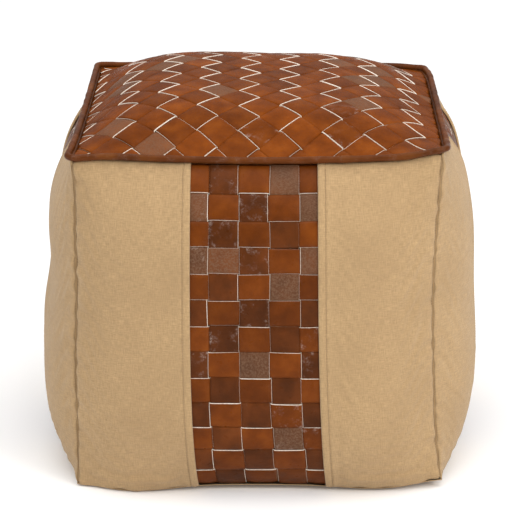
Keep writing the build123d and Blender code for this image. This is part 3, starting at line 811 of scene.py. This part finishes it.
SIM_FRAMES = 24
EXTRA_CLOTH = 0.013  # how much larger a panel is than the stuffing needs, as a share
MOST_OUT = 2.6 * MM  # the furthest that a point may move along its normal
MOST_IN = 1.6 * MM
SUPPORT = 0.21  # how firmly the stuffing holds a panel's free middle in place, from 0 to 1
# The solver's own units
CLOTH_QUALITY = 4
POINT_MASS = 0.15
STRETCH_STIFFNESS = 18
SHEAR_STIFFNESS = 8
BENDING_STIFFNESS = 0.3
HOLD_STIFFNESS = 1.0
AIR_DAMPING = 5
# How far a panel is sewn or pressed down: beside its fold, and from its other three seams
HEM_HELD, SEAM_HELD, HELD_FADE = 14 * MM, 8 * MM, 6 * MM


def relax(panels):
    """Simulates the canvas panels as cloth, held firmly at the seams and lightly elsewhere.
    Only the movement along each point's normal is kept, up to a limit."""
    scene = bpy.context.scene
    scene.frame_start, scene.frame_end = 1, SIM_FRAMES
    before = {}
    for piece, held in panels:
        group = piece.vertex_groups.new(name="held")
        for index, weight in enumerate(np.maximum(held, SUPPORT)):
            group.add([index], float(weight), "REPLACE")
        cloth = piece.modifiers.new("drape", "CLOTH")
        piece.modifiers.move(len(piece.modifiers) - 1, 0)
        settings = cloth.settings
        settings.vertex_group_mass = "held"
        settings.quality = CLOTH_QUALITY
        settings.mass = POINT_MASS
        settings.tension_stiffness = settings.compression_stiffness = STRETCH_STIFFNESS
        settings.shear_stiffness = SHEAR_STIFFNESS
        settings.bending_stiffness = BENDING_STIFFNESS
        settings.pin_stiffness = HOLD_STIFFNESS
        settings.air_damping = AIR_DAMPING
        settings.shrink_min = -EXTRA_CLOTH
        cloth.collision_settings.use_collision = False
        cloth.point_cache.frame_start, cloth.point_cache.frame_end = 1, SIM_FRAMES
        before[piece.name] = mesh_points(piece.data)
    for number in range(1, SIM_FRAMES + 1):
        scene.frame_set(number)
    graph = bpy.context.evaluated_depsgraph_get()
    after = {}
    for piece, _ in panels:
        for modifier in piece.modifiers:
            modifier.show_viewport = modifier.type == "CLOTH"
    graph.update()
    for piece, _ in panels:
        shaped = piece.evaluated_get(graph).to_mesh()
        after[piece.name] = mesh_points(shaped)
    for piece, held in panels:
        start = before[piece.name]
        normals = np.zeros(len(start) * 3)
        piece.data.vertices.foreach_get("normal", normals)
        normals = normals.reshape(-1, 3)
        out = np.einsum("ij,ij->i", after[piece.name] - start, normals)
        out = np.clip(np.nan_to_num(out), -MOST_IN, MOST_OUT) * (1 - held)
        moved = start + normals * out[:, None]
        piece.data.vertices.foreach_set("co", moved.ravel())
        piece.modifiers.remove(piece.modifiers["drape"])
        for modifier in piece.modifiers:
            modifier.show_viewport = True
        piece.data.update()
    scene.frame_set(1)


def mesh_points(mesh):
    points = np.zeros(len(mesh.vertices) * 3)
    mesh.vertices.foreach_get("co", points)
    return points.reshape(-1, 3)


def holding(distance, y):
    """1 where a panel is sewn down, fading to 0 in its middle."""
    width = TOP_HALF - BAND_HALF
    from_seam = np.minimum.reduce([distance - HEM_HELD, width - distance - SEAM_HELD,
                                   HALF_HEIGHT - y - SEAM_HELD, HALF_HEIGHT + y - SEAM_HELD])
    return 1 - np.clip(from_seam / HELD_FADE, 0, 1)


# ----------------------------------------------------------------- backings

BACKING_ROWS, BACKING_COLUMNS = 80, 40
BACKING_THICK = 0.7 * MM
BAND_BACKING_HALF = 92 * MM


def backing(name, face, x_half, y_low, y_high):
    """The cotton that a weave is held to, just beneath it, coloured near-black as painted shade in the
    gaps between the strips.
    """
    columns = np.linspace(-x_half, x_half, BACKING_COLUMNS)
    rows = np.linspace(y_low, y_high, BACKING_ROWS)
    x, y = np.meshgrid(columns, rows)
    lift = BACKING_LEVEL + ripple(x, y, 60 * MM, len(name)) * 0.2 * MM
    points = skin(face, x, y, lift)
    cloth = np.stack([x, y, 0 * x], -1).reshape(-1, 3)
    faces = grid_faces(BACKING_ROWS, BACKING_COLUMNS)
    piece = laid_cloth(name, points, faces, SHADE_LINING, BACKING_THICK, cloth, "liner_cotton")


# ------------------------------------------------------------------- piping

SIDE_STEPS, CORNER_STEPS = 90, 10
PIPING_CORNER = 11 * MM  # the radius of the piping's bend at a corner
PIPING_SIDES = 16


def piping_route():
    """Points round the top seam, with soft corners."""
    half, corner = TOP_HALF + PIPING_OFFSET, PIPING_CORNER
    points = []
    for turn in range(4):
        straight = np.linspace(-half + corner, half - corner, SIDE_STEPS)[:-1]
        side = np.stack([straight, np.full_like(straight, -half)], -1)
        angles = np.linspace(-math.pi / 2, 0, CORNER_STEPS)[:-1]
        bend = np.stack([half - corner + corner * np.cos(angles),
                         -half + corner + corner * np.sin(angles)], -1)
        leg = np.concatenate([side, bend])
        leg = np.concatenate([leg, np.zeros((len(leg), 1))], 1)
        points.append(turned(leg, 90 * turn))
    route = np.concatenate(points)
    route[:, 2] = SEAM_HEIGHT + PIPING_OFFSET
    return route


FLANGE_HALF = 0.8 * MM
FLANGE_REACH = 11.0 * MM  # the piping's middle to the inner edge of its flange
FLANGE_START = PIPING_RADIUS * 0.8  # just inside the round


def make_piping():
    """Leather folded round a cord, and the flange that the seam holds."""
    route = piping_route()
    ahead = np.roll(route, -1, 0) - np.roll(route, 1, 0)
    ahead /= np.linalg.norm(ahead, axis=1)[:, None]
    up = np.array([0, 0, 1.0])
    out = np.cross(ahead, up)
    around = np.arange(PIPING_SIDES) * math.tau / PIPING_SIDES
    run = np.cumsum(np.linalg.norm(np.diff(route, axis=0, prepend=route[:1]), axis=1))
    swell = 1 + 0.05 * ripple(run, run * 0, 30 * MM, 5) + 0.03 * ripple(run, run * 0, 9 * MM, 6)
    radius = PIPING_RADIUS * swell[:, None, None]
    ring = np.cos(around)[None, :, None] * out[:, None] + np.sin(around)[None, :, None] * up
    tube = route[:, None] + ring * radius
    inward, across = -(out + up) / math.sqrt(2), (out - up) / math.sqrt(2)
    section = [(FLANGE_START, 1), (FLANGE_START, -1), (FLANGE_REACH, -1), (FLANGE_REACH, 1)]
    flange = np.stack([route + inward * deep + across * side * FLANGE_HALF
                       for deep, side in section], 1)
    faces, points, tones = [], [], []
    for part in (tube, flange):
        start = sum(len(p) for p in points)
        rows, columns = part.shape[:2]
        faces += grid_faces(rows, columns, wrap=True, start=start)
        last = start + (rows - 1) * columns
        faces += [(last + c, last + (c + 1) % columns, start + (c + 1) % columns, start + c)
                  for c in range(columns)]
        points.append(part.reshape(-1, 3))
        tones.append(0.45 + 0.2 * np.repeat(ripple(run, run * 0, 120 * MM, 9), columns))
    points = settle(np.concatenate(points))
    count = len(points)
    # scuff paints a faint whitish highlight all along the piping; bloom, a painted sheen, is off
    attributes = {"tone": np.concatenate(tones),
                  "bloom": np.zeros(count), "scuff": np.full(count, 0.15)}
    piece = mesh_object("piping_leather_cover", points, faces, [PIPING_LEATHER], attributes=attributes)
    stands_for(piece, "piping_leather", "piping", "piping_cord")


# --------------------------------------------------------------------- base

BASE_ROWS, BASE_COLUMNS = 60, 90
ZIP_HALF = 7 * MM  # half of the opening between the two halves of the base
EDGE_REACH, ZIP_REACH = 24 * MM, 32 * MM  # over these the base rises to its rim and its zip
BASE_SOFT_REACH, BASE_WAVES = 40 * MM, 0.8 * MM
BASE_CLEAR, LEAST_CLEAR = 0.3 * MM, 0.2 * MM  # above the floor


def make_base(name, side):
    """One half of the canvas base, from the zip to its rim."""
    columns = np.linspace(-1, 1, BASE_COLUMNS)
    columns = np.sign(columns) * (1 - (1 - np.abs(columns)) ** 1.25)  # closer at the rim
    rows = np.linspace(0, 1, BASE_ROWS)
    u, t = np.meshgrid(columns, rows)
    valley, rim = ZIP_HALF, BASE_HALF
    x = u * rim
    y = side * (valley + t * (rim - valley))
    from_rim = np.minimum(rim - np.abs(x), rim - np.abs(y))
    from_zip = np.abs(y) - valley
    edge = BASE_LIFT * np.clip(1 - from_rim / EDGE_REACH, 0, 1) ** 1.6
    zip_rise = BASE_LIFT * np.clip(1 - from_zip / ZIP_REACH, 0, 1) ** 1.8
    z = np.maximum(edge, zip_rise) + BASE_CLEAR
    soft = np.clip(np.minimum(from_rim, from_zip) / BASE_SOFT_REACH, 0, 1)
    z = z + (1 - soft) * soft * 4 * BASE_WAVES * (1 + ripple(x, y, 60 * MM, 31 + side))
    points = settle(np.stack([x, y, z], -1))
    points[..., 2] = np.maximum(points[..., 2], LEAST_CLEAR)
    faces = grid_faces(BASE_ROWS, BASE_COLUMNS)
    if side > 0:
        faces = [tuple(reversed(f)) for f in faces]
    cloth = points.reshape(-1, 3)
    piece = laid_cloth(name, points, faces, CANVAS, CANVAS_THICK, cloth, "canvas")


# ---------------------------------------------------------------- inner bag

BAG_DEPTH = -8.5 * MM  # the bag's surface, below the canvas
BAG_STEPS = 40  # points along each side of a face
WELD = 0.2 * MM


def make_inner_bag():
    """The stuffed cotton bag inside the cover."""
    span = np.linspace(-1, 1, BAG_STEPS)
    u, v = np.meshgrid(span, span)
    points, faces = [], []
    grids = [skin(f, u * TOP_HALF, v * HALF_HEIGHT, BAG_DEPTH) for f in FACES]
    grids.append(skin("top", u * TOP_HALF, v * TOP_HALF, BAG_DEPTH))
    low = BASE_HALF + BAG_DEPTH
    grids.append(settle(np.stack([u * low, -v * low, np.full_like(u, BASE_LIFT - BAG_DEPTH)], -1)))
    for n, grid in enumerate(grids):
        points.append(grid.reshape(-1, 3))
        faces += grid_faces(BAG_STEPS, BAG_STEPS, start=n * BAG_STEPS**2)
    points = np.concatenate(points)
    piece = mesh_object("stuffed_inner_bag", points, faces, [COTTON], attributes={"cloth": points})
    bm = bmesh.new()
    bm.from_mesh(piece.data)
    bmesh.ops.remove_doubles(bm, verts=bm.verts, dist=WELD)
    bm.to_mesh(piece.data)
    bm.free()
    stands_for(piece, "liner_cotton", "filling", "inner_liner")


# ------------------------------------------------------------ putting it up

def dress(node, material):
    """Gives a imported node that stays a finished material."""
    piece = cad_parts[node]
    piece.data.materials.clear()
    piece.data.materials.append(material)


def build_pouf():
    """Every piece in turn. Each strip has a seed of its own."""
    make_inner_bag()
    panels = []
    for n, face in enumerate(FACES):
        for hand in (-1, 1):
            panels.append(canvas_panel(face, hand))
        backing(f"{face}_band_backing", face, BAND_BACKING_HALF, -HALF_HEIGHT + 1 * MM,
                HALF_HEIGHT - 3 * MM)
        for column in range(1, WARP_COUNT + 1):
            flat = band_warp(column, 100 * n + column)
            woven_piece(f"{face}_warp_strip_{column}", face, flat, WARP_LEATHER, "warp_leather",
                        f"{face}_warp_{column}")
        flat = band_weft(1000 + 100 * n)
        woven_piece(f"{face}_weft_strips", face, flat, WEFT_LEATHER, "weft_leather", f"{face}_weft")
    backing("top_backing", "top", TOP_HALF - 3 * MM, -TOP_HALF + 3 * MM, TOP_HALF - 3 * MM)
    for name, hand in (("top_strips_rising", 1), ("top_strips_falling", -1)):
        flat = top_strips(hand, 5000 * (hand + 2))
        woven_piece(f"{name}_leather", "top", flat, TOP_LEATHER, "top_leather", name)
    make_piping()
    make_base("base_front", -1)
    make_base("base_back", 1)
    for node in ("zip_teeth_front", "zip_teeth_back", "zip_top_stop_front", "zip_top_stop_back",
                 "zip_bottom_stop", "zip_slider", "pull_tab"):
        dress(node, BRASS)
    for node in ("zip_tape_front", "zip_tape_back"):
        dress(node, TAPE)
    relax(panels)


# ------------------------------------------------------ floor, light, camera

def area_light(name, place, target, size, watts, colour=(1, 1, 1)):
    data = bpy.data.lights.new(name, "AREA")
    data.shape = "RECTANGLE"
    data.size, data.size_y = size
    data.energy = watts
    data.color = colour
    light = bpy.data.objects.new(name, data)
    light.location = place
    light.rotation_euler = (Vector(target) - Vector(place)).to_track_quat("-Z", "Y").to_euler()
    bpy.context.collection.objects.link(light)


def studio():
    """A pale paper floor, a sky that is bright above and dim below, and three soft lights."""
    g = Graph("floor_paper")
    cloud = g.noise(g.place(), 2.0, 2.0)
    material = g.finish(g.ramp(cloud, [(0.3, (0.90, 0.90, 0.90)), (0.7, (0.92, 0.92, 0.92))]),
                        g.fade(cloud, 0.3, 0.7, 0.85, 0.95), Emission_Color=(1, 1, 1, 1),
                        Emission_Strength=0.05)
    reach = 14.0
    corners = [(-reach, -reach, 0), (reach, -reach, 0), (reach, reach, 0), (-reach, reach, 0)]
    floor = mesh_object("floor", corners, [(0, 1, 2, 3)], [material])
    world = bpy.data.worlds.new("studio")
    world.use_nodes = True
    bpy.context.scene.world = world
    tree = world.node_tree
    direction = tree.nodes.new("ShaderNodeTexCoord").outputs["Generated"]
    split = tree.nodes.new("ShaderNodeSeparateXYZ")
    ramp = tree.nodes.new("ShaderNodeMapRange")
    tree.links.new(direction, split.inputs[0])
    tree.links.new(split.outputs["Z"], ramp.inputs["Value"])
    ramp.inputs["To Min"].default_value = 0.18
    ramp.inputs["To Max"].default_value = 1.35
    background = tree.nodes["Background"]
    background.inputs["Color"].default_value = (1.0, 1.0, 1.0, 1)
    tree.links.new(ramp.outputs["Result"], background.inputs["Strength"])
    # Each light: place, what it points at, size, watts and colour
    area_light("key", (1.7, -1.7, 1.5), (0, 0, 0.22), (1.0, 1.0), 27, (1.0, 0.985, 0.96))
    area_light("overhead", (0.0, -0.7, 3.0), (0, 0, 0.2), (2.6, 2.6), 34)
    area_light("rim", (-1.7, -1.5, 1.4), (0, 0, 0.3), (0.35, 0.8), 6, (1.0, 0.99, 0.98))
    bpy.context.scene.view_settings.view_transform = "Standard"


def camera():
    """The photograph's own viewpoint: a long lens, just above the pouf, facing its front."""
    distance = 3.04
    target = Vector((0, 0, 0.23))
    azimuth, elevation = math.radians(0.49), math.radians(18.36)
    data = bpy.data.cameras.new("camera")
    data.sensor_width = 36.0
    data.lens = 163.4
    data.shift_x = -0.0036
    data.shift_y = -0.008
    eye = bpy.data.objects.new("camera", data)
    flat = math.cos(elevation) * distance
    eye.location = target + Vector((math.sin(azimuth) * flat, -math.cos(azimuth) * flat,
                                    math.sin(elevation) * distance))
    eye.rotation_euler = (target - eye.location).to_track_quat("-Z", "Y").to_euler()
    bpy.context.collection.objects.link(eye)
    bpy.context.scene.camera = eye


camera()
build_pouf()
studio()
